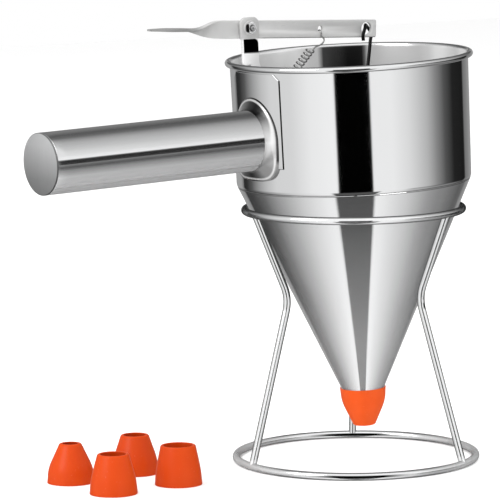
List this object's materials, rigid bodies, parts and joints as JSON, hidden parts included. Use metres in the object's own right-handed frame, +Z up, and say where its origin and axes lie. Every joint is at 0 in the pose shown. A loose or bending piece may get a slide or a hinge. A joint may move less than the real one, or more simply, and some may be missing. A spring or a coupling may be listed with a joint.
{
  "type": "batter dispenser",
  "caption": "Steel batter funnel with a tube handle, sprung thumb lever, plunger valve and push-on silicone nozzle, standing in a waisted wire stand, with spare nozzles.",
  "frame": {"origin": "on the table, under the middle of the overall extent in X and Y", "axes": "+Z up; -X the way the handle points from the funnel; +Y the side of the bracket that the lever is on"},
  "size_m": [0.3202, 0.1608, 0.2912],
  "materials": {
    "polished": "mirror-polished stainless sheet",
    "satin": "satin stainless",
    "wire": "bright stainless wire",
    "spring": "drawn spring wire",
    "silicone": "glossy orange silicone"
  },
  "bodies": {
    "stand": {"stand_base_ring": "wire", "stand_top_ring": "wire", "stand_leg_1": "wire", "stand_leg_2": "wire", "stand_leg_3": "wire"},
    "hopper": {"hopper_wall": "polished", "hopper_cone": "polished", "outlet_tube": "polished", "handle_plate": "polished", "handle_collar": "polished", "handle_tube": "polished", "handle_end_cap": "satin", "pivot_bracket": "polished", "pivot_bolt": "wire", "pivot_washer": "wire", "pivot_nut": "wire", "return_spring": "spring"},
    "lever": {"lever": "satin"},
    "plunger": {"plunger_rod": "wire", "plunger_stopper": "polished"},
    "nozzle": {"nozzle_fitted": "silicone"},
    "spare_nozzle_1": {"nozzle_spare_1": "silicone"},
    "spare_nozzle_2": {"nozzle_spare_2": "silicone"},
    "spare_nozzle_3": {"nozzle_spare_3": "silicone"},
    "spare_nozzle_4": {"nozzle_spare_4": "silicone"}
  },
  "joints": [
    {"name": "hopper_lift", "type": "slide", "parent": "stand", "child": "hopper", "axis": [0, 0, 1], "range_m": [0, 0.15]},
    {"name": "lever_press", "type": "hinge", "parent": "hopper", "child": "lever", "pos_m": [0.00076, 0.0062, 0.28443], "axis": [0, -1, 0], "range_deg": [0, 12], "stiffness_Nm_per_rad": 3.7, "springref_deg": -2.58, "deforming": ["return_spring"]},
    {"name": "plunger_hang", "type": "hinge", "parent": "lever", "child": "plunger", "pos_m": [0.09545, 0.0062, 0.28167], "axis": [0, -1, 0], "range_deg": [-12, 0]},
    {"name": "nozzle_pull", "type": "slide", "parent": "hopper", "child": "nozzle", "axis": [0.0419, 0, -0.9991], "range_m": [0, 0.016]},
    {"name": "spare_lift_1", "type": "slide", "parent": "stand", "child": "spare_nozzle_1", "axis": [0, 0, 1], "range_m": [0, 0.06]},
    {"name": "spare_lift_2", "type": "slide", "parent": "stand", "child": "spare_nozzle_2", "axis": [0, 0, 1], "range_m": [0, 0.06]},
    {"name": "spare_lift_3", "type": "slide", "parent": "stand", "child": "spare_nozzle_3", "axis": [0, 0, 1], "range_m": [0, 0.06]},
    {"name": "spare_lift_4", "type": "slide", "parent": "stand", "child": "spare_nozzle_4", "axis": [0, 0, 1], "range_m": [0, 0.06]}
  ],
  "couplings": [
    {"joint": "plunger_hang", "follows": "lever_press", "ratio": -1}
  ]
}
